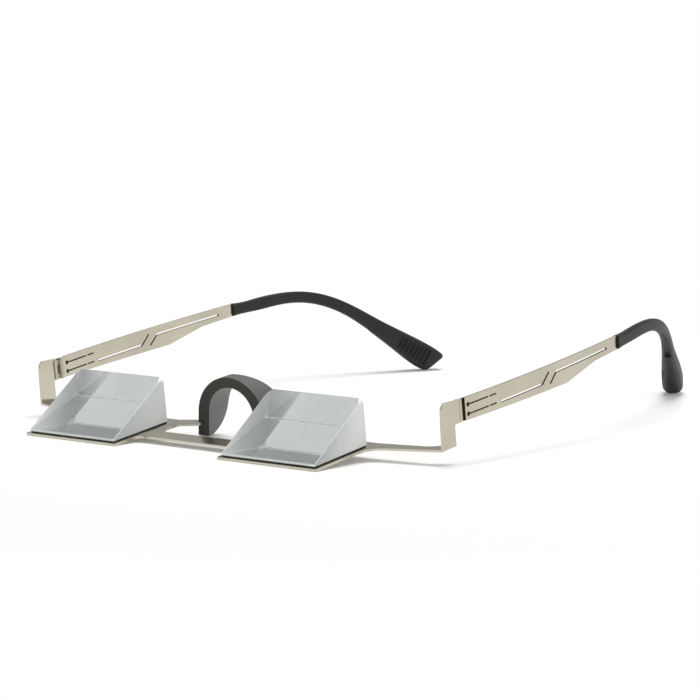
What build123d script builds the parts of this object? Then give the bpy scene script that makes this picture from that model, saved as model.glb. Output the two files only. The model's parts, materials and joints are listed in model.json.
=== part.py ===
from build123d import *
import os
from math import cos, radians, sin, tan

# Look-up prism glasses, set down on a table: both plates' front edges and both temple tips touch the floor.
# X runs across the face, Y from the plates back to the tips, Z up. The origin is the middle of the footprint.
# Left and right are the wearer's, who looks along -Y, so the left side is at +X.
# The flat sheet lies in a plane that is pitched up towards the back. In it, u runs back from the plates'
# front edge and w stands square to the sheet, and every piece is drawn in x, u and w.

# Whole glasses
half_width = 70.0
overall_length = 184.0
pitch = 7.55
sheet = 0.6
overrun = 5.0

# Prisms, each a 30-60-90 wedge on its back, with its short face to the rear
prism_inner = 18.6
prism_width = 30.5
prism_front = 0.9
prism_depth = 21.7
prism_angle = 30.0
prism_nose = 0.5
prism_edge_bevel = 0.25
prism_corner_bevel = 1.2
mirror_coat = 0.1
adhesive = 0.3

# Prism plates
plate_inner_margin = 1.0
plate_outer_margin = 0.9
plate_back_margin = 3.8
plate_corner_radius = 0.6

# Bridge bar between the plates
bridge_front = 9.3
bridge_width = 5.7
bridge_fillet = 2.5

# Nose arms, from the plates' inner back corners to the nose saddle
nose_arm_root = 14.8
nose_arm_tip = 9.8
nose_arm_front = 24.6
nose_arm_width = 4.8
nose_arm_slope_rise = 2.2
nose_arm_fillet = 2.4
nose_arm_end_radius = 0.7

# Side arms, from the plates' outer back corners to the end plates
side_arm_front = 21.6
side_arm_front_fillet_share = 0.3
side_arm_flare_share = 0.725
side_arm_flare_back = 28.4
side_arm_flare_fillet_share = 0.2

# End plates, folded up from the side arms
end_plate_front = 26.6
end_plate_lean = 0.6
end_plate_post_width = 5.9
end_plate_corner_radius = 1.9
end_plate_foot_radius = 0.9
end_plate_neck_radius = 0.6
arm_bottom = 5.75
arm_height = 6.0
arm_brow = 0.65

# Hinges: two fixed knuckles with one between them, on a plain pin
hinge_line = 35.2
hinge_gap = 0.35
knuckle_radius = 0.5
knuckle_wall_gap = 0.05
knuckle_end_gap = 0.1
knuckle_inset = 0.35
middle_knuckle_length = 2.3
hinge_leaf_thickness = 0.3
hinge_leaf_length = 1.2
fixed_leaf_tie = 0.9
pin_radius = 0.22
pin_clearance = 0.02
pin_head_radius = 0.36
pin_head_height = 0.2

# Temples: spring sheet with a bare lap and etched grooves behind the hinge, and two stepped slots
temple_bow = 1.06
temple_bow_share = 0.4303
temple_toe_in = 0.72
tip_reach = 72.8
temple_end_bottom = 7.25
temple_end_height = 3.8
temple_belly = 4.6
temple_belly_share = 0.6281
temple_waist = 7.0
temple_waist_share = 0.8259
temple_belly_radius = 9.0
lap_length = 1.8
lap_depth = 0.2
lap_groove_width = 1.0
lap_groove_depth = 0.42
fork_eye_radius = 0.6
fork_eye_reach = 3.0
fork_groove_width = 0.4
fork_groove_depth = 0.18
fork_groove_length = 8.5
fork_bridge = 0.5
fork_nick_length = 2.9
fork_low = 7.2
fork_high = 9.7
step_slot_width = 0.6
step_slot_low = 7.1
step_slot_high = 8.9
step_slot_front_share = 0.2222
step_slot_front_turn_share = 0.4725
step_slot_back_turn_share = 0.5635
step_slot_back_share = 0.9196
step_slot_lead = 3.3
step_slot_rise = 2.6

# Temple tips: rubber sleeves on the drawn-out ends of the temples
tip_bend_x = 62.9
tip_shank = 34.7
tip_bend_w = 8.4
tip_bend_radius = 45.0
tip_end_x = 44.8
tip_heel_reach = 3.37
tip_heel_lift = 2.32
tip_thickness = 6.1
tip_height = 8.4
tip_end_lean = 24.0
tip_station_shares = (
    (0.00, 0.33, 0.48, 0.0),
    (0.12, 0.33, 0.45, 0.0),
    (0.24, 0.35, 0.43, 0.0),
    (0.36, 0.38, 0.42, 0.0),
    (0.48, 0.41, 0.43, 0.0),
    (0.60, 0.49, 0.47, 0.0),
    (0.70, 0.60, 0.57, 0.0),
    (0.79, 0.77, 0.72, 0.1),
    (0.87, 0.93, 0.88, 0.35),
    (0.94, 1.00, 1.02, 0.80),
    (0.98, 0.98, 1.03, 1.0),
    (1.00, 0.80, 0.96, 1.0),
)
tip_edge_share = 0.4
core_root = 1.0
core_thickness = 0.5
core_height = 2.4
core_length_share = 0.62

# Nose saddle: a rubber arch that grips the nose arms in a slot in each foot
saddle_front = 27.5
saddle_outer_radius = 11.6
saddle_outer_centre = 1.9
saddle_inner_radius = 7.7
saddle_inner_centre = 3.0
saddle_splay = 7.0
saddle_foot = -3.4
saddle_crown_depth = 4.0
saddle_pad_depth = 8.2
saddle_foot_depth = 1.4
saddle_pad_at = 6.0

# The pitched plane of the sheet, and the planes square to it
across = Vector(1, 0, 0)
back = Vector(0, cos(radians(pitch)), sin(radians(pitch)))
rise = Vector(0, -sin(radians(pitch)), cos(radians(pitch)))
front_edge = -overall_length / 2


def point(x, u, w):
    """A point of the part from its place in the pitched frame."""
    return Vector(0, front_edge, 0) + across * x + back * u + rise * w


def flat_plane(w):
    """The plane of the sheet at a height w, with x and u as its axes."""
    return Plane(origin=point(0, 0, w), x_dir=across, z_dir=rise)


def side_plane(x):
    """The plane across x, with u and w as its axes."""
    return Plane(origin=point(x, 0, 0), x_dir=back, z_dir=across)


def front_plane(u):
    """The plane across u, with x and w as its axes. It faces the front."""
    return Plane(origin=point(0, u, 0), x_dir=across, z_dir=-back)


def write(piece, name):
    """Label a finished piece and write it."""
    piece.label = name
    export_step(piece, f"parts/{name}.step")


def write_pair(piece, name):
    """Write a piece of the left side, and its mirror image on the right."""
    with BuildPart() as twin:
        mirror(piece, about=Plane.YZ)
    write(piece, f"{name}_left")
    write(twin.part, f"{name}_right")


os.makedirs("parts", exist_ok=True)

# Places that follow from the sizes above
prism_outer = prism_inner + prism_width
prism_back = prism_front + prism_depth
prism_height = prism_depth * tan(radians(prism_angle))
prism_base = sheet + adhesive + mirror_coat
plate_inner = prism_inner - plate_inner_margin
plate_outer = prism_outer + plate_outer_margin
plate_back = prism_back + plate_back_margin
side_arm_length = half_width - plate_outer
side_arm_front_fillet = side_arm_length * side_arm_front_fillet_share
side_arm_flare_start = plate_outer + side_arm_length * side_arm_flare_share
side_arm_flare_fillet = side_arm_length * side_arm_flare_fillet_share
bridge_back = bridge_front + bridge_width
nose_arm_back = nose_arm_front + nose_arm_width
end_plate_back = end_plate_front + end_plate_post_width
end_plate_rear = hinge_line - hinge_gap / 2
temple_front = hinge_line + hinge_gap / 2
temple_end = overall_length - tip_reach
temple_length = temple_end - temple_front
arm_top = arm_bottom + arm_height
arm_middle = arm_bottom + arm_height / 2
lap_groove_front = temple_front + lap_length - lap_groove_width
fork_eye_at = temple_front + fork_eye_reach
fork_nick_middle = fork_eye_at + fork_groove_length + fork_bridge + fork_nick_length / 2


def along_temple(share):
    """The place along u that lies at a share of the temple's length."""
    return temple_front + temple_length * share


# Front frame: one sheet with two prism plates, a bridge bar, nose arms and side arms, folded up at its ends
with BuildPart() as front_frame:
    with BuildSketch(flat_plane(0)) as blank:
        with BuildLine() as half_outline:
            FilletPolyline(
                (0, bridge_front),
                (plate_inner, bridge_front),
                (plate_inner, 0),
                (plate_outer, 0),
                (plate_outer, side_arm_front),
                (half_width, end_plate_front),
                (half_width, end_plate_back),
                (side_arm_flare_start, side_arm_flare_back),
                (plate_outer, plate_back),
                (plate_inner, plate_back),
                (nose_arm_tip, nose_arm_back),
                (nose_arm_tip, nose_arm_front),
                (nose_arm_root, nose_arm_front - nose_arm_slope_rise),
                (nose_arm_root, bridge_back),
                (0, bridge_back),
                radius=[
                    bridge_fillet,
                    plate_corner_radius,
                    plate_corner_radius,
                    side_arm_front_fillet,
                    0,
                    0,
                    side_arm_flare_fillet,
                    side_arm_flare_fillet,
                    side_arm_flare_fillet,
                    nose_arm_end_radius,
                    nose_arm_end_radius,
                    nose_arm_fillet,
                    nose_arm_fillet,
                ],
            )
            Line((0, bridge_back), (0, bridge_front))
        make_face()
        mirror(about=Plane.YZ)
    extrude(amount=sheet)
    with BuildSketch(side_plane(half_width - sheet)) as end_plate:
        with BuildLine() as end_plate_outline:
            FilletPolyline(
                (end_plate_front, 0),
                (end_plate_back, 0),
                (end_plate_back, arm_bottom),
                (end_plate_rear, arm_bottom),
                (end_plate_rear, arm_top),
                (end_plate_front + end_plate_lean, arm_top + arm_brow),
                close=True,
                radius=[
                    0,
                    end_plate_foot_radius,
                    end_plate_neck_radius,
                    0,
                    0,
                    end_plate_corner_radius,
                ],
            )
        make_face()
    extrude(amount=sheet)
    mirror(about=Plane.YZ)

write(front_frame.part, "front_frame")

# Prism: a glass wedge with a blunt front, lightly bevelled back edges and cut top corners
with BuildPart() as prism:
    with BuildSketch(side_plane(prism_inner)) as wedge_section:
        with BuildLine() as wedge_outline:
            Polyline(
                (prism_front, prism_base),
                (prism_back, prism_base),
                (prism_back, prism_base + prism_height),
                (prism_front, prism_base + prism_nose),
                close=True,
            )
        make_face()
    extrude(amount=prism_width)
    with BuildSketch(front_plane(prism_back)) as wedge_face:
        with Locations((prism_inner + prism_width / 2, prism_base + prism_height / 2)):
            Rectangle(prism_width, prism_height)
        chamfer(wedge_face.vertices().group_by(Axis.Y)[-1], prism_corner_bevel)
    extrude(amount=prism_depth, mode=Mode.INTERSECT)
    chamfer(prism.edges().filter_by(Axis.X).sort_by(Axis.Y)[-2:], prism_edge_bevel)

write_pair(prism.part, "prism")

# Reflecting coat on the prism's long face, with its black backing
with BuildPart() as coat:
    with BuildSketch(flat_plane(sheet + adhesive)) as coat_outline:
        with Locations((prism_inner + prism_width / 2, prism_front + prism_depth / 2)):
            Rectangle(prism_width - 2 * prism_edge_bevel, prism_depth - 2 * prism_edge_bevel)
    extrude(amount=mirror_coat)

write_pair(coat.part, "mirror_coat")

# Adhesive sheet that holds the coated prism on its plate
with BuildPart() as adhesive_pad:
    with BuildSketch(flat_plane(sheet)) as pad_outline:
        with Locations((prism_inner + prism_width / 2, prism_front + prism_depth / 2)):
            Rectangle(prism_width - 2 * prism_edge_bevel, prism_depth - 2 * prism_edge_bevel)
    extrude(amount=adhesive)

write_pair(adhesive_pad.part, "adhesive_pad")

# Temple: a thin bowed strip, cut to its side outline, with etched grooves and stepped slots
temple_plan_margin = arm_bottom - temple_belly + overrun
tip_start = point(
    half_width - temple_toe_in - sheet / 2,
    temple_end,
    temple_end_bottom + temple_end_height / 2,
)
tip_bend = point(tip_bend_x, temple_end + tip_shank, tip_bend_w)
tip_end = Vector(tip_end_x, overall_length / 2 - tip_heel_reach, tip_heel_lift)
tip_lead = (tip_start - tip_bend).normalized()

with BuildLine() as tip_path:
    FilletPolyline(tip_start, tip_bend, tip_end, radius=tip_bend_radius)

with BuildLine() as core_path:
    FilletPolyline(tip_start + tip_lead * core_root, tip_bend, tip_end, radius=tip_bend_radius)


def section_plane(path, share, lean=0):
    """The plane across a path at a share of its length, with its foot drawn back by an angle."""
    along = path % share
    sideways = along.cross(rise).normalized()
    down = along.cross(sideways)
    facing = along * cos(radians(lean)) + down * sin(radians(lean))
    return Plane(origin=path @ share, x_dir=sideways, z_dir=facing)


def plan_strip(depth, thickness):
    """Sketch the bowed plan of a layer of the temple's sheet, from a depth below its outer skin."""
    skin = half_width - depth
    bow_at = along_temple(temple_bow_share)
    with BuildLine() as strip_edges:
        outer_edge = ThreePointArc(
            (skin, temple_front), (skin + temple_bow, bow_at), (skin - temple_toe_in, temple_end)
        )
        inner_edge = ThreePointArc(
            (skin - thickness, temple_front),
            (skin + temple_bow - thickness, bow_at),
            (skin - temple_toe_in - thickness, temple_end),
        )
        Line(outer_edge @ 0, inner_edge @ 0)
        Line(outer_edge @ 1, inner_edge @ 1)
    make_face(strip_edges.edges())


temple_plan = flat_plane(arm_bottom - temple_plan_margin)
temple_plan_height = arm_height + 2 * temple_plan_margin

# Etched grooves: two on each face, each with a round eye in front and a short nick behind it
with BuildPart() as fork_grooves:
    with BuildSketch(temple_plan) as groove_skins:
        plan_strip(0, fork_groove_depth)
        plan_strip(sheet - fork_groove_depth, fork_groove_depth)
    extrude(amount=temple_plan_height)
    with BuildSketch(side_plane(half_width - overrun)) as groove_lines:
        for fork_level in (fork_low, fork_high):
            with Locations((fork_eye_at, fork_level)):
                Circle(fork_eye_radius)
            with Locations((fork_eye_at + fork_groove_length / 2, fork_level)):
                SlotOverall(fork_groove_length, fork_groove_width)
            with Locations((fork_nick_middle, fork_level)):
                SlotOverall(fork_nick_length, fork_groove_width)
    extrude(amount=2 * overrun, mode=Mode.INTERSECT)


def skin_band(depth, near, length):
    """Build a full-height band of the temple's outer skin, to be cut away."""
    with BuildPart() as band:
        with BuildSketch(temple_plan) as band_plan:
            plan_strip(0, depth)
        extrude(amount=temple_plan_height)
        with BuildSketch(side_plane(half_width - overrun)) as band_side:
            with Locations((near + length / 2, arm_middle)):
                Rectangle(length, temple_plan_height)
        extrude(amount=2 * overrun, mode=Mode.INTERSECT)
    return band.part


front_turn = along_temple(step_slot_front_turn_share)
back_turn = along_temple(step_slot_back_turn_share)

with BuildPart() as temple:
    with BuildSketch(temple_plan) as temple_sheet:
        plan_strip(0, sheet)
    extrude(amount=temple_plan_height)
    with BuildSketch(side_plane(half_width - overrun)) as temple_side:
        with BuildLine() as temple_outline:
            FilletPolyline(
                (temple_front, arm_bottom),
                (along_temple(temple_belly_share), temple_belly),
                (along_temple(temple_waist_share), temple_waist),
                (temple_end, temple_end_bottom),
                (temple_end, temple_end_bottom + temple_end_height),
                (temple_front, arm_top),
                close=True,
                radius=[0, temple_belly_radius, temple_belly_radius, 0, 0, 0],
            )
        make_face()
        with BuildLine() as front_step:
            Polyline(
                (along_temple(step_slot_front_share), step_slot_low),
                (front_turn, step_slot_low),
                (front_turn + step_slot_lead, step_slot_low + step_slot_rise),
            )
        trace(line_width=step_slot_width, mode=Mode.SUBTRACT)
        with BuildLine() as back_step:
            Polyline(
                (back_turn - step_slot_lead, step_slot_high - step_slot_rise),
                (back_turn, step_slot_high),
                (along_temple(step_slot_back_share), step_slot_high),
            )
        trace(line_width=step_slot_width, mode=Mode.SUBTRACT)
    extrude(amount=2 * overrun, mode=Mode.INTERSECT)
    add(fork_grooves.part, mode=Mode.SUBTRACT)
    # The outer skin starts behind a bare lap, with a groove at the foot of the step
    add(skin_band(lap_depth, temple_front, lap_length), mode=Mode.SUBTRACT)
    add(skin_band(lap_groove_depth, lap_groove_front, lap_groove_width), mode=Mode.SUBTRACT)
    # The core is the temple's drawn-out end, which runs on inside the rubber tip
    core_wire = core_path.wire()
    with BuildSketch(section_plane(core_wire, 0)) as core_section:
        Rectangle(core_thickness, core_height)
    sweep(path=core_wire.trim(0, core_length_share))

write_pair(temple.part, "temple")

# Temple tip: a rubber sleeve that bends down behind the ear and swells to a flat bulb
with BuildPart() as temple_tip:
    tip_wire = tip_path.wire()
    for path_share, thickness_share, height_share, lean_share in tip_station_shares:
        thickness = tip_thickness * thickness_share
        tip_plane = section_plane(tip_wire, path_share, tip_end_lean * lean_share)
        with BuildSketch(tip_plane) as tip_section:
            RectangleRounded(thickness, tip_height * height_share, thickness * tip_edge_share)
    loft()
    add(temple.part, mode=Mode.SUBTRACT)

write_pair(temple_tip.part, "temple_tip")

# Hinge: the knuckles lie inside the arm, on leaves brazed to the end plate and to the temple
knuckle_x = half_width - sheet - knuckle_wall_gap - knuckle_radius
leaf_face = half_width - sheet
temple_leaf_skin = leaf_face + (sheet - lap_groove_depth) / 2
middle_knuckle_bottom = arm_middle - middle_knuckle_length / 2
fixed_knuckle_length = (arm_height - middle_knuckle_length) / 2 - knuckle_end_gap - knuckle_inset
fixed_knuckle_bottoms = (
    arm_bottom + knuckle_inset,
    arm_bottom + arm_height - knuckle_inset - fixed_knuckle_length,
)


def knuckle(leaf_near, leaf_far, leaf_skin):
    """Sketch a bored knuckle with a leaf from leaf_near to leaf_far, up to leaf_skin in x."""
    with Locations((knuckle_x, hinge_line)):
        Circle(knuckle_radius)
    leaf_width = leaf_skin - leaf_face + hinge_leaf_thickness
    with Locations((leaf_skin - leaf_width / 2, (leaf_near + leaf_far) / 2)):
        Rectangle(leaf_width, abs(leaf_far - leaf_near))
    with Locations((knuckle_x, hinge_line)):
        Circle(pin_radius + pin_clearance, mode=Mode.SUBTRACT)


with BuildPart() as fixed_knuckles:
    for knuckle_bottom in fixed_knuckle_bottoms:
        with BuildSketch(flat_plane(knuckle_bottom)) as fixed_knuckle_section:
            knuckle(end_plate_rear, end_plate_rear - hinge_leaf_length, leaf_face)
        extrude(amount=fixed_knuckle_length)
    fixed_leaf_middle = end_plate_rear - hinge_leaf_length - fixed_leaf_tie / 2
    with BuildSketch(flat_plane(fixed_knuckle_bottoms[0])) as fixed_leaf:
        with Locations((leaf_face - hinge_leaf_thickness / 2, fixed_leaf_middle)):
            Rectangle(hinge_leaf_thickness, fixed_leaf_tie)
    extrude(amount=arm_height - 2 * knuckle_inset)

write_pair(fixed_knuckles.part, "hinge_fixed_knuckles")

with BuildPart() as moving_knuckle:
    with BuildSketch(flat_plane(middle_knuckle_bottom)) as moving_knuckle_section:
        knuckle(temple_front, temple_front + hinge_leaf_length, temple_leaf_skin)
    extrude(amount=middle_knuckle_length)
    add(temple.part, mode=Mode.SUBTRACT)

write_pair(moving_knuckle.part, "hinge_moving_knuckle")

# Hinge pin, with a small head at each end
pin_bottom = arm_bottom + knuckle_inset
pin_length = arm_height - 2 * knuckle_inset
with BuildPart() as hinge_pin:
    with BuildSketch(flat_plane(pin_bottom)) as pin_section:
        with Locations((knuckle_x, hinge_line)):
            Circle(pin_radius)
    extrude(amount=pin_length)
    for head_bottom in (pin_bottom - pin_head_height, pin_bottom + pin_length):
        with BuildSketch(flat_plane(head_bottom)) as pin_head:
            with Locations((knuckle_x, hinge_line)):
                Circle(pin_head_radius)
        extrude(amount=pin_head_height)

write_pair(hinge_pin.part, "hinge_pin")

# Nose saddle: a splayed rubber arch, deepest at its two pads, with the nose arms' ends in its feet
splay = radians(saddle_splay)
saddle_top = saddle_outer_centre + saddle_outer_radius


def leg_foot(centre, radius):
    """Where the straight leg below an arc of the arch meets the foot's level."""
    drop = centre + radius * sin(splay) - saddle_foot
    return (radius * cos(splay) + drop * tan(splay), saddle_foot)


with BuildPart() as nose_saddle:
    with BuildSketch(front_plane(saddle_front)) as arch:
        with BuildLine() as arch_outline:
            outer_arc = CenterArc(
                (0, saddle_outer_centre), saddle_outer_radius, saddle_splay, 90 - saddle_splay
            )
            inner_arc = CenterArc(
                (0, saddle_inner_centre), saddle_inner_radius, saddle_splay, 90 - saddle_splay
            )
            outer_foot = leg_foot(saddle_outer_centre, saddle_outer_radius)
            inner_foot = leg_foot(saddle_inner_centre, saddle_inner_radius)
            Line(outer_arc @ 0, outer_foot)
            Line(outer_foot, inner_foot)
            Line(inner_foot, inner_arc @ 0)
            Line(inner_arc @ 1, outer_arc @ 1)
        make_face()
        mirror(about=Plane.YZ)
    extrude(amount=-saddle_pad_depth - overrun)
    with BuildSketch(side_plane(0)) as saddle_side:
        with BuildLine() as saddle_side_outline:
            pad_back = ThreePointArc(
                (saddle_front + saddle_foot_depth, saddle_foot),
                (saddle_front + saddle_pad_depth, saddle_pad_at),
                (saddle_front + saddle_crown_depth, saddle_top),
            )
            Polyline(
                pad_back @ 1,
                (saddle_front, saddle_top),
                (saddle_front, saddle_foot),
                pad_back @ 0,
            )
        make_face()
    extrude(amount=half_width, both=True, mode=Mode.INTERSECT)
    add(front_frame.part, mode=Mode.SUBTRACT)

write(nose_saddle.part, "nose_saddle")
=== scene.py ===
"""Looks for a pair of look-up prism glasses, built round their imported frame.

Sizes are in millimetres in the settings and in metres in the scene. X runs across the face, Y from the
prisms back to the temple tips and Z up. The flat sheet is pitched up towards the back: in it, u runs back
from the plates' front edge and w stands square to the sheet.
"""

import json
from math import radians

import bpy
from bpy.props import FloatProperty, FloatVectorProperty, IntProperty, PointerProperty
from bpy.types import Operator, Panel, PropertyGroup
from mathutils import Matrix, Vector


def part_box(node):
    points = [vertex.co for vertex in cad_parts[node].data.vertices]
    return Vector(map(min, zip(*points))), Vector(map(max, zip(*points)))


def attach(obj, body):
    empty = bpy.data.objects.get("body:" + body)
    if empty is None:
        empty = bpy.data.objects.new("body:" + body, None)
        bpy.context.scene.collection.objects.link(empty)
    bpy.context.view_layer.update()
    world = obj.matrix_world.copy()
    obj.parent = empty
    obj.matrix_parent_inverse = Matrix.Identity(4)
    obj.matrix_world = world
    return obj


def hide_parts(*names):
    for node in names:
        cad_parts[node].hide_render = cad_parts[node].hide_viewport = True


bl_info = {
    "name": "Prism glasses",
    "version": (1, 0, 0),
    "blender": (4, 5, 0),
    "location": "View3D > Sidebar > Prism glasses",
    "description": "Finishes the sheet, prisms, rubber and hinges of look-up prism glasses",
    "category": "Object",
}

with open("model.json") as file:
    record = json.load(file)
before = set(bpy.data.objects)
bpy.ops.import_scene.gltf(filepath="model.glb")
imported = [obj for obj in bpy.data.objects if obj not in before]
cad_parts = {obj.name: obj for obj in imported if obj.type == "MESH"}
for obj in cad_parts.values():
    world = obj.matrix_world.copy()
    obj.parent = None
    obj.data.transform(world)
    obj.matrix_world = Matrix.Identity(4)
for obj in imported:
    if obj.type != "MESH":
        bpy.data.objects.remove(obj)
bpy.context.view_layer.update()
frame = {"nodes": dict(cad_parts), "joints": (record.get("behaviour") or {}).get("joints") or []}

MM = 0.001
SIDES = {"left": 1, "right": -1}

# Thickness of the front's sheet, in millimetres
SHEET = 0.6

# What counts as one point, as one flat face, as a smooth edge, and as lying in a plane
MERGE_DISTANCE = 0.001 * MM
FLAT_ANGLE = radians(0.4)
SMOOTH_ANGLE = radians(32)
NEAR = 0.01 * MM

# The turn between two faces of a wedge over which their edge is bevelled
WEDGE_ANGLE = radians(50)

# How squarely a face has to look one way, from nothing to one, to count as flat, as front or as back
FLAT_SHARE = 0.9
SHEET_FLAT_SHARE = 0.985
ARCH_FRONT_SHARE = 0.8
ARCH_BACK_SHARE = 0.35

# Where the nose arch's curve has its middle, up the pitched frame, in millimetres
ARCH_MIDDLE = 2.5

# A tip's middle where it bends, across, along and up the pitched frame, in millimetres
TIP_BEND = (62.9, 145.9, 8.4)

# A tip's middle at its end: across, short of its rearmost point and over the floor, in millimetres
TIP_END_ACROSS = 44.8
TIP_END_REACH = 3.37
TIP_END_LIFT = 2.32

# How far outside a tip its skin is looked for, and how many sides its round cutters have
SKIN_REACH = 20 * MM
GROOVE_SIDES = 20
RECESS_SIDES = 24

# Where the temples' grooves, slots and laps lie along and up the pitched frame, in millimetres
GROOVE_LEVELS = (7.2, 9.7)
GROOVE_HALF_WIDTH = 0.19
GROOVES_FROM = 37.7
GROOVES_TO = 50.6
FRONT_SLOTS = (5.9, 10.2)
BACK_SLOT = (8.3, 9.5)
SLOT_TURN = 84.0
LAP_GROOVE_FROM = 36.1
LAP_GROOVE_TO = 37.3

# The pitched frame of the sheet, from the hinge axis and the front frame's box
ACROSS = Vector((1, 0, 0))
FOLD_JOINT = next(joint for joint in frame["joints"] if joint["child"] == "left_temple")
RISE = Vector(FOLD_JOINT["axis"]).normalized()
BACK = RISE.cross(ACROSS)
FRONT_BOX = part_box("front_frame")
FRONT_EDGE = FRONT_BOX[0].y - SHEET * MM * RISE.y
END_FACE = FRONT_BOX[1].x

# The index of refraction of the prisms' glass
GLASS_INDEX = 1.52

# The camera as fitted to the photograph: its place and nearest view in metres, its lens in millimetres
CAMERA_PLACE = (0.46096, -0.61113, 0.11043)
CAMERA_TILT = radians(83.12)
CAMERA_TURN = radians(37.63)
CAMERA_LENS = 138.86
CAMERA_SENSOR = 36.0
CAMERA_CLIP = 0.01

# The lamp's place and width in metres
LAMP_PLACE = (-0.01, 0.14, 0.78)
LAMP_WIDTH = 0.42


def pitched(x, u, w):
    """The scene point at x, u and w, in millimetres, of the pitched frame."""
    return Vector((0, FRONT_EDGE, 0)) + (ACROSS * x + BACK * u + RISE * w) * MM


def sheet_place(point):
    """How far back and how high, in millimetres, a point lies in the pitched frame."""
    from_front = point - pitched(0, 0, 0)
    return from_front.dot(BACK) / MM, from_front.dot(RISE) / MM


# Settings that a user would change


def size(label, text, default):
    """A length in millimetres, with its name and description."""
    return FloatProperty(name=label, description=f"{text}, in millimetres", default=default, min=0)


def tint(label, text, default):
    """A linear colour, with its name and description."""
    return FloatVectorProperty(
        name=label, description=text, default=default, size=3, min=0, max=1, subtype="COLOR"
    )


def share(label, text, default):
    """A share from nothing to all, with its name and description."""
    return FloatProperty(name=label, description=text, default=default, min=0, max=1, subtype="FACTOR")


class SheetSettings(PropertyGroup):
    """Folded front and spring temples."""

    face: tint("Face colour", "Satin nickel on the flat of the sheet", (0.57, 0.53, 0.43))
    shade: tint("Shade colour", "Darker clouds in the plating", (0.49, 0.455, 0.365))
    edge: tint("Edge colour", "Polished cut edge of the sheet", (0.55, 0.52, 0.45))
    # The groove and pit colours are oxide on the etched grooves' floor. Where the temples lay them on the
    # slot walls, the lap band and the end faces at the hinge gap, they are painted shade.
    groove: tint("Groove colour", "Oxidised floor of the grooves", (0.050, 0.038, 0.026))
    pit: tint("Pit colour", "Darker pits in the grooves' floor", (0.024, 0.019, 0.014))
    roughness: share("Roughness", "Mean roughness of the brushed face", 0.19)
    edge_bevel: size("Edge break", "Width of the broken edge round the sheet", 0.07)
    fold_bevel: size("Fold radius", "Outer radius where the end plates fold up", 0.45)


class PrismSettings(PropertyGroup):
    """Glass wedges, their mirror coats and adhesive."""

    glass: tint("Glass colour", "Body colour of the optical glass", (0.93, 0.96, 0.965))
    ground: tint("Ground colour", "Colour of the ground sides and bevels", (0.93, 0.95, 0.95))
    grit: tint("Grit colour", "Darker grit of the ground sides and bevels", (0.87, 0.90, 0.90))
    silver: tint("Silver colour", "Reflecting coat under the wedge", (0.80, 0.82, 0.82))
    haze: tint("Haze colour", "Paler patches of the reflecting coat", (0.85, 0.87, 0.87))
    adhesive: tint("Adhesive colour", "Black sheet under the coat", (0.010, 0.010, 0.010))
    fleck: tint("Fleck colour", "Paler flecks in the adhesive", (0.022, 0.022, 0.021))
    bevel: size("Bevel", "Width of the ground bevel along the wedge's edges", 0.22)
    # The fade of light from the front to the back of the ground sides and bevels is painted light, which
    # makes their fronts lighter than their backs.
    side_light: share("Side light", "How much light the front of a ground side lets through", 1.0)
    side_reach: size("Side reach", "How far back a ground side lets light through", 19)
    bevel_light: share("Bevel light", "How much light the front of a bevel lets through", 0.3)
    bevel_reach: size("Bevel reach", "How far back a bevel lets light through", 40)
    # The bevel glow is a painted glow: the bevels give light though they are no lamp.
    bevel_painted_glow: share("Bevel glow", "Faint light that the glass guides to the bevels", 0.08)
    sink: size("Silver contact", "How far the glass dips into the coat that silvers it", 0.01)


class TipSettings(PropertyGroup):
    """Rubber sleeves on the temples."""

    rubber: tint("Rubber colour", "Dark grey rubber", (0.020, 0.020, 0.020))
    voxel: size("Surface step", "Spacing of the points of the moulded surface", 0.2)
    round_reach: size("Rounded end", "How far from the end its rim is rounded", 3.0)
    round_passes: IntProperty(name="Rounding", description="Passes that round the end", default=40, min=1)
    grooves: IntProperty(name="Grooves", description="Cross grooves inside the bulb", default=8, min=0)
    groove_step: size("Groove step", "Distance from one groove to the next", 1.5)
    groove_radius: size("Groove radius", "Radius of one groove's round floor", 0.5)
    groove_depth: size("Groove depth", "Depth of a groove in the inner face", 0.7)
    groove_length: size("Groove length", "Length of a groove across the bulb", 5.4)
    first_groove: size("First groove", "Distance from the tip's end to the first groove", 4.5)
    recess_at: size("Recess place", "Distance from the tip's end to the recess underneath", 30.5)
    recess_length: size("Recess length", "Length of the drawn-out recess underneath", 11.0)
    recess_width: size("Recess width", "Width of the recess at its lower end", 1.9)
    recess_depth: size("Recess depth", "Depth of the recess at its lower end", 0.6)
    recess_taper: share("Recess taper", "Size of the recess's upper end as a share of its lower end", 0.3)


class SaddleSettings(PropertyGroup):
    """Rubber arch on the nose."""

    # The front colour is painted shade on the arch's front and the pad colour is painted light on the pads.
    # The skin colour is the rubber's own tone.
    front: tint("Front colour", "Dark front band of the arch", (0.058, 0.059, 0.051))
    skin: tint("Skin colour", "Satin of the arch's outside", (0.14, 0.14, 0.136))
    pad: tint("Pad colour", "Lighter satin of the two pads inside", (0.28, 0.28, 0.276))
    edge_radius: size("Edge radius", "Rounding of the arch's edges", 0.4)


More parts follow.
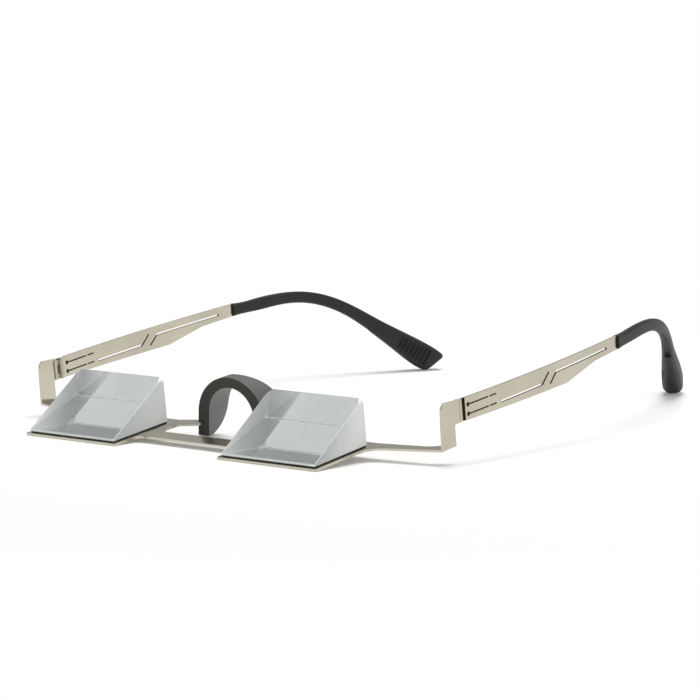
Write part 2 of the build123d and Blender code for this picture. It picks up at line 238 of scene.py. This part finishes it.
class StageSettings(PropertyGroup):
    """Floor, light and camera."""

    floor_tint: tint("Floor colour", "White of the floor", (0.86, 0.86, 0.85))
    floor_span: size("Floor span", "Length of the floor's side", 6000)
    key_power: FloatProperty(
        name="Key power", description="Power of the lamp overhead", default=4.0, min=0, unit="POWER"
    )
    fill: share("Fill", "Strength of the light from all round", 0.5)
    lean: share("Lean", "How much more of the fill comes from the wearer's left", 0.5)
    glow: share("Glow", "The floor's own light, as the camera and reflections see it", 0.13)
    horizon: share("Horizon", "Brightness of the studio's wall in reflections", 0.95)
    ceiling: share("Ceiling", "Brightness of the dark ceiling in reflections", 0.38)
    ceiling_front: share("Ceiling in front", "How much of the ceiling's darkness shows in front", 0.25)
    dimming: share("Dimming", "How much darker reflections are in front of the glasses", 0.18)
    fade_start: size("Fade start", "Distance from the glasses where the floor starts to fade to white", 125)
    fade_end: size("Fade end", "Distance from the glasses where the floor has faded to white", 230)


class GlassesSettings(PropertyGroup):
    """Settings of the whole glasses."""

    sheet: PointerProperty(type=SheetSettings)
    prism: PointerProperty(type=PrismSettings)
    tip: PointerProperty(type=TipSettings)
    saddle: PointerProperty(type=SaddleSettings)
    stage: PointerProperty(type=StageSettings)


def settings_of(context):
    """All settings of the glasses."""
    return context.scene.prism_glasses


# Shader maths


class Wire:
    """A value socket that adds its Math nodes when it is used in an expression."""

    def __init__(self, recipe, socket):
        self.recipe = recipe
        self.socket = socket

    def maths(self, operation, first, second):
        """The value of a Math node on two values."""
        node = self.recipe.node("ShaderNodeMath", {"operation": operation}, {0: first, 1: second})
        return Wire(self.recipe, node.outputs[0])

    def __add__(self, other):
        return self.maths("ADD", self, other)

    def __radd__(self, other):
        return self.maths("ADD", other, self)

    def __sub__(self, other):
        return self.maths("SUBTRACT", self, other)

    def __rsub__(self, other):
        return self.maths("SUBTRACT", other, self)

    def __mul__(self, other):
        return self.maths("MULTIPLY", self, other)

    def __rmul__(self, other):
        return self.maths("MULTIPLY", other, self)

    def most(self, other):
        """The larger of two values."""
        return self.maths("MAXIMUM", self, other)


class Recipe:
    """The node tree of one material or of the world."""

    def __init__(self, owner):
        owner.use_nodes = True
        self.owner = owner
        self.tree = owner.node_tree
        self.tree.nodes.clear()

    def node(self, kind, settings=None, sockets=None):
        """Add a node: its settings first, then the values or links of its sockets."""
        node = self.tree.nodes.new(kind)
        for name, value in (settings or {}).items():
            setattr(node, name, value)
        for key, value in (sockets or {}).items():
            if isinstance(value, Wire):
                self.tree.links.new(value.socket, node.inputs[key])
            elif isinstance(value, bpy.types.NodeSocket):
                self.tree.links.new(value, node.inputs[key])
            else:
                node.inputs[key].default_value = value
        return node

    def places(self, scale=(1, 1, 1)):
        """Object coordinates in millimetres, stretched by a scale."""
        coordinates = self.node("ShaderNodeTexCoord")
        mapping = self.node(
            "ShaderNodeMapping", {},
            {"Vector": coordinates.outputs["Object"], "Scale": [stretch / MM for stretch in scale]},
        )
        return mapping.outputs["Vector"]

    def noise(self, waves, detail, stretch=(1, 1, 1)):
        """Noise with so many waves to a millimetre, from nothing to one."""
        texture = self.node(
            "ShaderNodeTexNoise", {},
            {"Vector": self.places(stretch), "Scale": waves, "Detail": detail},
        )
        return Wire(self, texture.outputs["Fac"])

    def spread(self, value, low, high):
        """A value stretched so that low becomes nothing and high becomes one."""
        node = self.node(
            "ShaderNodeMapRange", {"clamp": True}, {0: value, 1: low, 2: high, 3: 0.0, 4: 1.0}
        )
        return Wire(self, node.outputs[0])

    def blend(self, factor, first, second):
        """A colour between two colours."""
        node = self.node(
            "ShaderNodeMix", {"data_type": "RGBA"}, {0: factor, 6: (*first, 1), 7: (*second, 1)}
        )
        return node.outputs[2]

    def bump(self, height, depth):
        """A normal from a height between nothing and one, for a depth in millimetres."""
        node = self.node(
            "ShaderNodeBump", {}, {"Height": height, "Distance": depth * MM, "Strength": 1.0}
        )
        return node.outputs["Normal"]

    def principled(self, sockets):
        """Finish the tree with a Principled shader."""
        shader = self.node("ShaderNodeBsdfPrincipled", {}, sockets)
        self.node("ShaderNodeOutputMaterial", {}, {"Surface": shader.outputs[0]})
        return self.owner


def recipe(name):
    """A recipe for a new material."""
    return Recipe(bpy.data.materials.new(name))


# Materials


def satin_nickel(name, settings, grain):
    """Brushed nickel plate: fine lines along the grain, soft clouds and a few faint scratches."""
    steel = recipe(name)
    lines = steel.noise(waves=5.0, detail=3.0, stretch=grain)
    clouds = steel.spread(steel.noise(waves=0.055, detail=3.0), low=0.35, high=0.68)
    scratches = steel.spread(steel.noise(waves=1.1, detail=1.0, stretch=grain), low=0.66, high=0.70)
    shade = clouds * 0.7 + lines * 0.3
    rough = settings.roughness + (lines - 0.5) * 0.12 + clouds * 0.05 - scratches * 0.06
    return steel.principled({
        "Base Color": steel.blend(shade, settings.face, settings.shade),
        "Metallic": 1.0,
        "Roughness": rough,
        "Normal": steel.bump(lines - scratches * 0.5, depth=0.004),
    })


def cut_edge(settings):
    """Bright polished edge of the sheet, with short marks of the cut across it."""
    steel = recipe("Cut sheet edge")
    marks = steel.noise(waves=3.0, detail=2.0, stretch=(1, 1, 0.3))
    return steel.principled({
        "Base Color": steel.blend(marks, settings.edge, settings.face),
        "Metallic": 1.0,
        "Roughness": 0.12 + marks * 0.12,
        "Normal": steel.bump(marks, depth=0.004),
    })


def groove_oxide_and_painted_shade(settings):
    """Dark oxidised floor of the etched grooves, which the temples also lay on slot walls, the lap band and
    the hinge-gap ends as painted shade.
    """
    dark = recipe("Groove oxide and painted shade")
    pits = dark.noise(waves=6.0, detail=3.0)
    return dark.principled({
        "Base Color": dark.blend(pits, settings.groove, settings.pit),
        "Metallic": 0.6,
        "Roughness": 0.5 + pits * 0.2,
        "Normal": dark.bump(pits, depth=0.02),
    })


def turned_steel(settings):
    """Nickel-plated hinge steel, with the rings of turning round the pin's direction."""
    steel = recipe("Hinge steel")
    rings = steel.noise(waves=2.6, detail=1.0, stretch=(0.15, 0.15, 1))
    return steel.principled({
        "Base Color": steel.blend(rings, settings.face, settings.shade),
        "Metallic": 1.0,
        "Roughness": 0.3 + rings * 0.15,
        "Normal": steel.bump(rings, depth=0.008),
    })


def clear_glass(settings):
    """Polished optical glass, with faint cleaning smears."""
    glass = recipe("Optical glass")
    film = glass.noise(waves=0.12, detail=3.0, stretch=(1, 0.4, 1))
    smears = glass.spread(film, low=0.45, high=0.75)
    return glass.principled({
        "Base Color": (*settings.glass, 1),
        "Roughness": smears * 0.012,
        "IOR": GLASS_INDEX,
        "Transmission Weight": 1.0,
    })


def ground_glass(name, settings, light, reach, glow):
    """Ground glass: it lets scattered light through in front, ever less over its reach, a fade painted to
    light its front, and it may carry a painted glow.
    """
    glass = recipe(name)
    grit = glass.noise(waves=9.0, detail=3.0)
    place = glass.node("ShaderNodeSeparateXYZ", {}, {0: glass.places()})
    edge = FRONT_EDGE / MM
    back = glass.spread(Wire(glass, place.outputs["Y"]), low=edge, high=edge + reach)
    skin = glass.node("ShaderNodeBsdfPrincipled", {}, {
        "Base Color": glass.blend(grit, settings.ground, settings.grit),
        "Roughness": 0.36 + grit * 0.16,
        "IOR": GLASS_INDEX,
        "Normal": glass.bump(grit, depth=0.004),
        # Painted glow: the bevels emit light of their own.
        "Emission Color": (1, 1, 1, 1),
        "Emission Strength": glow,
    })
    through = glass.node("ShaderNodeBsdfTranslucent", {}, {"Color": (*settings.ground, 1)})
    # Painted light: the share of light let through fades from the front to the back.
    mixed = glass.node(
        "ShaderNodeMixShader", {},
        {0: light * (1 - back), 1: skin.outputs[0], 2: through.outputs[0]},
    )
    glass.node("ShaderNodeOutputMaterial", {}, {"Surface": mixed.outputs[0]})
    return glass.owner


def silvering(settings):
    """Silver reflecting coat, a little uneven where it was laid."""
    silver = recipe("Silver coat")
    haze = silver.spread(silver.noise(waves=0.2, detail=3.0), low=0.5, high=0.8)
    return silver.principled({
        "Base Color": silver.blend(haze, settings.silver, settings.haze),
        "Metallic": 1.0,
        "Roughness": 0.01 + haze * 0.02,
    })


def black_adhesive(settings):
    """Matt black adhesive sheet."""
    black = recipe("Black adhesive")
    flecks = black.noise(waves=3.0, detail=3.0)
    return black.principled({
        "Base Color": black.blend(flecks, settings.adhesive, settings.fleck),
        "Roughness": 0.55 + flecks * 0.2,
        "Normal": black.bump(flecks, depth=0.02),
    })


def soft_rubber(name, colour, roughness, depth):
    """Moulded rubber with a fine spark-eroded grain of some depth and faint handling shine."""
    rubber = recipe(name)
    grain = rubber.noise(waves=4.2, detail=2.0)
    handling = rubber.spread(rubber.noise(waves=0.07, detail=2.0), low=0.4, high=0.7)
    darker = [channel * 0.78 for channel in colour]
    return rubber.principled({
        "Base Color": rubber.blend(grain * 0.6 + handling * 0.4, colour, darker),
        "Roughness": roughness + grain * 0.12 - handling * 0.08,
        "Specular IOR Level": 0.32,
        "Normal": rubber.bump(grain, depth),
    })


# Modelling helpers


def pick(piece):
    """Select one piece alone and make it the active one."""
    bpy.ops.object.select_all(action="DESELECT")
    piece.select_set(True)
    bpy.context.view_layer.objects.active = piece


def apply_modifier(piece, kind, **settings):
    """Give a piece a modifier and apply it."""
    pick(piece)
    bpy.ops.object.modifier_add(type=kind)
    modifier = piece.modifiers[-1]
    for name, value in settings.items():
        setattr(modifier, name, value)
    bpy.ops.object.modifier_apply(modifier=modifier.name)


def whole_copy(node, name):
    """A copy of a node's solid as a new piece, its loose triangles merged into whole faces."""
    piece = bpy.data.objects.new(name, frame["nodes"][node].data.copy())
    bpy.context.scene.collection.objects.link(piece)
    piece.data.name = name
    piece.data.materials.clear()
    pick(piece)
    bpy.ops.object.mode_set(mode="EDIT")
    bpy.ops.mesh.customdata_custom_splitnormals_clear()
    bpy.ops.mesh.select_all(action="SELECT")
    bpy.ops.mesh.remove_doubles(threshold=MERGE_DISTANCE)
    bpy.ops.mesh.dissolve_limited(angle_limit=FLAT_ANGLE)
    bpy.ops.object.mode_set(mode="OBJECT")
    return piece


def break_edges(piece, width, segments=2, angle=SMOOTH_ANGLE):
    """Break the edges of a piece that are sharper than an angle with a small bevel."""
    apply_modifier(
        piece, "BEVEL", width=width * MM, segments=segments, limit_method="ANGLE", angle_limit=angle
    )


def bevel_edges(piece, chosen, width, segments):
    """Bevel the edges whose two ends pass a test."""
    pick(piece)
    bpy.ops.object.mode_set(mode="EDIT")
    bpy.ops.mesh.select_mode(type="EDGE")
    bpy.ops.mesh.select_all(action="DESELECT")
    bpy.ops.object.mode_set(mode="OBJECT")
    points = piece.data.vertices
    for edge in piece.data.edges:
        edge.select = all(chosen(points[end].co) for end in edge.vertices)
    bpy.ops.object.mode_set(mode="EDIT")
    bpy.ops.mesh.bevel(offset=width * MM, segments=segments, profile=0.5, affect="EDGES")
    bpy.ops.object.mode_set(mode="OBJECT")


def smooth(piece):
    """Shade a piece smooth, save across its sharp edges."""
    pick(piece)
    bpy.ops.object.shade_smooth_by_angle(angle=SMOOTH_ANGLE)


def flatten_shading(piece):
    """Let the large faces of a smooth piece look flat, and leave the rounding to its bevels."""
    apply_modifier(piece, "WEIGHTED_NORMAL", keep_sharp=True, weight=100)


def dress(piece, materials, choose=None):
    """Give a piece its materials, and each face the one whose index the test gives for it."""
    piece.data.materials.clear()
    for material in materials:
        piece.data.materials.append(material)
    for face in piece.data.polygons:
        face.material_index = choose(face) if choose else 0


def stand_for(piece, node, body):
    """Let a piece ride on a body in place of a node."""
    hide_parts(node)
    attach(piece, body)


def paint_node(node, material):
    """Give a node of the frame its material."""
    mesh = frame["nodes"][node].data
    mesh.materials.clear()
    mesh.materials.append(material)


class FrontOperator(Operator):
    """Finish the folded sheet front."""

    bl_idname = "prism_glasses.front"
    bl_label = "Sheet front"

    def execute(self, context):
        settings = settings_of(context).sheet
        piece = whole_copy("front_frame", "sheet_front")
        bevel_edges(piece, self.on_fold, settings.fold_bevel, segments=4)
        break_edges(piece, settings.edge_bevel)
        smooth(piece)
        flatten_shading(piece)
        grain_across = (0.08, 1.0, 1.0)
        nickel = satin_nickel("Satin nickel front", settings, grain_across)
        dress(piece, [nickel, cut_edge(settings)], self.choose)
        stand_for(piece, "front_frame", "front")
        return {"FINISHED"}

    @staticmethod
    def on_fold(point):
        """Whether a point lies on the outer edge where an end plate folds up."""
        level = (point - pitched(0, 0, 0)).dot(RISE)
        return abs(abs(point.x) - END_FACE) < NEAR and abs(level) < NEAR

    @staticmethod
    def choose(face):
        """The material of a face: satin on the flats, bright on cut edges."""
        squareness = max(abs(face.normal.dot(RISE)), abs(face.normal.x))
        return 0 if squareness > SHEET_FLAT_SHARE else 1


class TemplesOperator(Operator):
    """Finish the two slotted spring temples."""

    bl_idname = "prism_glasses.temples"
    bl_label = "Temples"

    def execute(self, context):
        settings = settings_of(context).sheet
        grain_along = (1.0, 0.06, 1.0)
        nickel = satin_nickel("Satin nickel temple", settings, grain_along)
        materials = [nickel, cut_edge(settings), groove_oxide_and_painted_shade(settings)]
        for side in SIDES:
            piece = whole_copy(f"temple_{side}", f"spring_temple_{side}")
            break_edges(piece, settings.edge_bevel)
            smooth(piece)
            flatten_shading(piece)
            dress(piece, materials, self.choose)
            stand_for(piece, f"temple_{side}", f"{side}_temple")
        return {"FINISHED"}

    @staticmethod
    def choose(face):
        """The material of a face: satin on the flats, bright on cut edges, dark oxide in the grooves, and
        the same dark as painted shade in the lap band, on the slot walls and on the end faces at the hinge
        gap.
        """
        along, level = sheet_place(face.center)
        in_grooves = GROOVES_FROM < along < GROOVES_TO
        if in_grooves and any(abs(level - groove) < GROOVE_HALF_WIDTH for groove in GROOVE_LEVELS):
            return 2
        # The lap band gets the dark as painted shade.
        if LAP_GROOVE_FROM < along < LAP_GROOVE_TO:
            return 2
        if abs(face.normal.x) > FLAT_SHARE:
            return 0
        in_front_slots = GROOVES_FROM < along < SLOT_TURN and FRONT_SLOTS[0] < level < FRONT_SLOTS[1]
        in_back_slot = along > SLOT_TURN and BACK_SLOT[0] < level < BACK_SLOT[1]
        # Slot walls and the end faces at the hinge gap get the dark as painted shade.
        return 2 if in_front_slots or in_back_slot or along < LAP_GROOVE_FROM else 1


class PrismsOperator(Operator):
    """Finish the glass wedges, their silver coats and adhesive sheets."""

    bl_idname = "prism_glasses.prisms"
    bl_label = "Prisms"

    def execute(self, context):
        settings = settings_of(context).prism
        silver = silvering(settings)
        black = black_adhesive(settings)
        materials = [
            clear_glass(settings),
            ground_glass("Ground side", settings, settings.side_light, settings.side_reach, glow=0),
            ground_glass(
                "Ground bevel", settings, settings.bevel_light, settings.bevel_reach, settings.bevel_painted_glow
            ),
        ]
        for side in SIDES:
            piece = whole_copy(f"prism_{side}", f"glass_wedge_{side}")
            break_edges(piece, settings.bevel, segments=1, angle=WEDGE_ANGLE)
            bpy.ops.object.shade_flat()
            polished, ground = self.large_faces(piece)

            def choose(face):
                if face.index in polished:
                    return 0
                return 1 if face.index in ground else 2

            dress(piece, materials, choose)
            base = min(point.co.dot(RISE) for point in piece.data.vertices)
            for point in piece.data.vertices:
                if point.co.dot(RISE) < base + NEAR:
                    point.co -= RISE * settings.sink * MM
            stand_for(piece, f"prism_{side}", "front")
            paint_node(f"mirror_coat_{side}", silver)
            paint_node(f"adhesive_pad_{side}", black)
        return {"FINISHED"}

    @staticmethod
    def large_faces(piece):
        """The indexes of the three polished faces, and of the two ground ones that look along X."""
        ranked = sorted(piece.data.polygons, key=lambda face: -face.area)[:5]
        ground = {face.index for face in ranked if abs(face.normal.x) > FLAT_SHARE}
        return {face.index for face in ranked} - ground, ground


class TipsOperator(Operator):
    """Mould the rubber tips, with their inner grooves and outer recess."""

    bl_idname = "prism_glasses.tips"
    bl_label = "Temple tips"

    def execute(self, context):
        settings = settings_of(context).tip
        rubber = soft_rubber("Tip rubber", settings.rubber, roughness=0.46, depth=0.010)
        for side, sign in SIDES.items():
            piece = whole_copy(f"temple_tip_{side}", f"rubber_tip_{side}")
            apply_modifier(piece, "REMESH", mode="VOXEL", voxel_size=settings.voxel * MM)
            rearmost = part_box(f"temple_tip_{side}")[1].y
            across, back, up = TIP_BEND
            bend = pitched(sign * across, back, up)
            end = Vector((sign * TIP_END_ACROSS * MM, rearmost - TIP_END_REACH * MM, TIP_END_LIFT * MM))
            along = (bend - end).normalized()
            self.carve(piece, settings, end, along, sign)
            apply_modifier(piece, "REMESH", mode="VOXEL", voxel_size=settings.voxel * MM)
            apply_modifier(piece, "SMOOTH", factor=0.5, iterations=1)
            self.round_end(piece, settings, end, along)
            smooth(piece)
            dress(piece, [rubber])
            stand_for(piece, f"temple_tip_{side}", f"{side}_temple")
        return {"FINISHED"}

    @staticmethod
    def round_end(piece, settings, end, along):
        """Round the end's rim by smoothing the skin there, more and more towards the end."""
        rim = piece.vertex_groups.new(name="rim")
        for point in piece.data.vertices:
            nearness = 1 - (point.co - end).dot(along) / (settings.round_reach * MM)
            if nearness > 0:
                rim.add([point.index], min(nearness, 1), "REPLACE")
        apply_modifier(
            piece, "SMOOTH", factor=0.5, iterations=settings.round_passes, vertex_group=rim.name
        )
        piece.vertex_groups.clear()

    def carve(self, piece, settings, end, along, sign):
        """Cut the grooves into the inner face and the recess into the edge underneath."""
        inward = along.cross(RISE).normalized() * sign
        down = along.cross(inward) * sign
        cutters = []
        for index in range(settings.grooves):
            distance = settings.first_groove + index * settings.groove_step
            surface = self.surface(piece, end + along * distance * MM, inward)
            centre = surface + inward * (settings.groove_radius - settings.groove_depth) * MM
            bpy.ops.mesh.primitive_cylinder_add(
                vertices=GROOVE_SIDES, radius=settings.groove_radius * MM,
                depth=settings.groove_length * MM, location=(0, 0, 0),
            )
            cutters.append(self.place(centre, (along, inward, along.cross(inward))))
        surface = self.surface(piece, end + along * settings.recess_at * MM, down)
        bpy.ops.mesh.primitive_cone_add(
            vertices=RECESS_SIDES, radius1=1, radius2=settings.recess_taper,
            depth=settings.recess_length * MM, location=(0, 0, 0),
        )
        girth = (settings.recess_depth * MM, settings.recess_width / 2 * MM, 1)
        cutters.append(self.place(surface, (down, along.cross(down), along), girth))
        for cutter in cutters:
            apply_modifier(piece, "BOOLEAN", object=cutter, operation="DIFFERENCE", solver="EXACT")
            bpy.data.objects.remove(cutter)

    @staticmethod
    def surface(piece, inside, direction):
        """The point of a piece's skin that lies from an inside point in a direction."""
        hit, place, _, _ = piece.ray_cast(inside + direction * SKIN_REACH, -direction)
        if not hit:
            raise RuntimeError(f"{piece.name} has no skin at {inside}")
        return place

    @staticmethod
    def place(centre, axes, scale=(1, 1, 1)):
        """Turn the newest primitive so that its x, y and z follow three axes, and set it in place."""
        cutter = bpy.context.object
        turn = Matrix(axes).transposed().to_4x4()
        cutter.matrix_world = Matrix.Translation(centre) @ turn @ Matrix.Diagonal((*scale, 1))
        pick(cutter)
        bpy.ops.object.transform_apply(location=True, rotation=True, scale=True)
        return cutter


class SaddleOperator(Operator):
    """Mould the rubber nose arch."""

    bl_idname = "prism_glasses.saddle"
    bl_label = "Nose saddle"

    def execute(self, context):
        settings = settings_of(context).saddle
        piece = whole_copy("nose_saddle", "nose_arch")
        break_edges(piece, settings.edge_radius, segments=3)
        smooth(piece)
        flatten_shading(piece)
        # One rubber in three tones: the front copy is painted shade and the pad copy is painted light.
        rubbers = [
            soft_rubber("Saddle rubber painted shade", settings.front, roughness=0.55, depth=0.012),
            soft_rubber("Saddle skin rubber", settings.skin, roughness=0.5, depth=0.01),
            soft_rubber("Saddle rubber painted light", settings.pad, roughness=0.5, depth=0.01),
        ]
        dress(piece, rubbers, self.choose)
        stand_for(piece, "nose_saddle", "front")
        return {"FINISHED"}

    @staticmethod
    def choose(face):
        """The rubber of a face: dark in front as painted shade, lighter outside, and lightest on the pads
        inside as painted light.
        """
        if -face.normal.dot(BACK) > ARCH_FRONT_SHARE:
            return 0
        level = sheet_place(face.center)[1]
        outward = face.normal.x * face.center.x / MM + face.normal.dot(RISE) * (level - ARCH_MIDDLE)
        return 2 if outward < 0 and face.normal.dot(BACK) < ARCH_BACK_SHARE else 1


class HingesOperator(Operator):
    """Finish the hinges' knuckles and pins."""

    bl_idname = "prism_glasses.hinges"
    bl_label = "Hinges"

    def execute(self, context):
        steel = turned_steel(settings_of(context).sheet)
        for side in SIDES:
            for piece in ("hinge_fixed_knuckles", "hinge_moving_knuckle", "hinge_pin"):
                paint_node(f"{piece}_{side}", steel)
        return {"FINISHED"}


class StageOperator(Operator):
    """Lay the floor and set the lights and the camera."""

    bl_idname = "prism_glasses.stage"
    bl_label = "Stage"

    def execute(self, context):
        settings = settings_of(context).stage
        self.floor(settings)
        self.lights(settings)
        self.world(settings)
        self.camera(context)
        context.scene.view_settings.view_transform = "Standard"
        return {"FINISHED"}

    @staticmethod
    def floor(settings):
        """A white floor with a glow that only the camera and reflections see, fading to plain white."""
        bpy.ops.mesh.primitive_plane_add(size=settings.floor_span * MM, location=(0, 0, 0))
        floor = bpy.context.object
        floor.name = "floor"
        white = recipe("White floor")
        path = white.node("ShaderNodeLightPath")
        seen = Wire(white, path.outputs["Is Camera Ray"]).most(Wire(white, path.outputs["Is Glossy Ray"]))
        seen = seen.most(Wire(white, path.outputs["Is Transmission Ray"]))
        diffuse = white.node("ShaderNodeBsdfDiffuse", {}, {"Color": (*settings.floor_tint, 1)})
        glow = white.node(
            "ShaderNodeEmission", {}, {"Color": (1, 1, 1, 1), "Strength": seen * settings.glow}
        )
        lit = white.node("ShaderNodeAddShader", {}, {0: diffuse.outputs[0], 1: glow.outputs[0]})
        plain = white.node("ShaderNodeEmission", {}, {"Color": (1, 1, 1, 1), "Strength": 1.0})
        away = white.node("ShaderNodeVectorMath", {"operation": "LENGTH"}, {0: white.places()})
        far = white.spread(Wire(white, away.outputs["Value"]), settings.fade_start, settings.fade_end)
        surface = white.node(
            "ShaderNodeMixShader", {}, {0: far * seen, 1: lit.outputs[0], 2: plain.outputs[0]}
        )
        white.node("ShaderNodeOutputMaterial", {}, {"Surface": surface.outputs[0]})
        floor.data.materials.append(white.owner)

    @staticmethod
    def lights(settings):
        """One wide lamp overhead, a little behind the glasses."""
        bpy.ops.object.light_add(type="AREA", location=LAMP_PLACE)
        key = bpy.context.object
        key.name = "key_light"
        key.data.shape = "DISK"
        key.data.size = LAMP_WIDTH
        key.data.energy = settings.key_power
        key.rotation_euler = (key.location * -1).to_track_quat("-Z", "Y").to_euler()

    @staticmethod
    def world(settings):
        """Light all round, seen as white, that metal and glass show greyer overhead and in front."""
        studio = bpy.data.worlds.new("Studio")
        bpy.context.scene.world = studio
        air = Recipe(studio)
        path = air.node("ShaderNodeLightPath")
        mirrored = Wire(air, path.outputs["Is Glossy Ray"]).most(
            Wire(air, path.outputs["Is Transmission Ray"])
        )
        seen = Wire(air, path.outputs["Is Camera Ray"])
        direction = air.node("ShaderNodeTexCoord")
        ways = air.node("ShaderNodeSeparateXYZ", {}, {0: direction.outputs["Generated"]})
        left, back, up = (Wire(air, ways.outputs[name]) for name in "XYZ")
        above = air.spread(up, low=0.14, high=0.36)
        behind = air.spread(back, low=-0.1, high=0.35)
        ceiling = above * (settings.ceiling_front + behind * (1 - settings.ceiling_front))
        before = air.spread(0 - back, low=0.2, high=0.7)
        reflected = settings.horizon - ceiling * (settings.horizon - settings.ceiling)
        reflected = reflected * (1 - before * settings.dimming)
        fill = settings.fill * (1 + settings.lean * left)
        strength = seen + (1 - seen) * (mirrored * reflected + (1 - mirrored) * fill)
        light = air.node("ShaderNodeBackground", {}, {"Color": (1, 1, 1, 1), "Strength": strength})
        air.node("ShaderNodeOutputWorld", {}, {"Surface": light.outputs[0]})

    @staticmethod
    def camera(context):
        """The photograph's own viewpoint."""
        bpy.ops.object.camera_add(location=CAMERA_PLACE, rotation=(CAMERA_TILT, 0, CAMERA_TURN))
        camera = context.object
        camera.name = "photo_view"
        camera.data.lens = CAMERA_LENS
        camera.data.sensor_width = CAMERA_SENSOR
        camera.data.clip_start = CAMERA_CLIP
        context.scene.camera = camera


OPERATORS = (
    FrontOperator,
    TemplesOperator,
    PrismsOperator,
    TipsOperator,
    SaddleOperator,
    HingesOperator,
    StageOperator,
)


class GlassesPanel(Panel):
    """The steps of the glasses, in order."""

    bl_idname = "VIEW3D_PT_prism_glasses"
    bl_label = "Prism glasses"
    bl_space_type = "VIEW_3D"
    bl_region_type = "UI"
    bl_category = "Prism glasses"

    def draw(self, context):
        for operator in OPERATORS:
            self.layout.operator(operator.bl_idname)


CLASSES = (
    SheetSettings,
    PrismSettings,
    TipSettings,
    SaddleSettings,
    StageSettings,
    GlassesSettings,
    *OPERATORS,
    GlassesPanel,
)


def register():
    for cls in CLASSES:
        bpy.utils.register_class(cls)
    bpy.types.Scene.prism_glasses = PointerProperty(type=GlassesSettings)


def unregister():
    del bpy.types.Scene.prism_glasses
    for cls in reversed(CLASSES):
        bpy.utils.unregister_class(cls)


def main():
    """Make every piece and the stage."""
    register()
    bpy.ops.prism_glasses.front()
    bpy.ops.prism_glasses.temples()
    bpy.ops.prism_glasses.prisms()
    bpy.ops.prism_glasses.tips()
    bpy.ops.prism_glasses.saddle()
    bpy.ops.prism_glasses.hinges()
    bpy.ops.prism_glasses.stage()


if __name__ == "__main__":
    main()
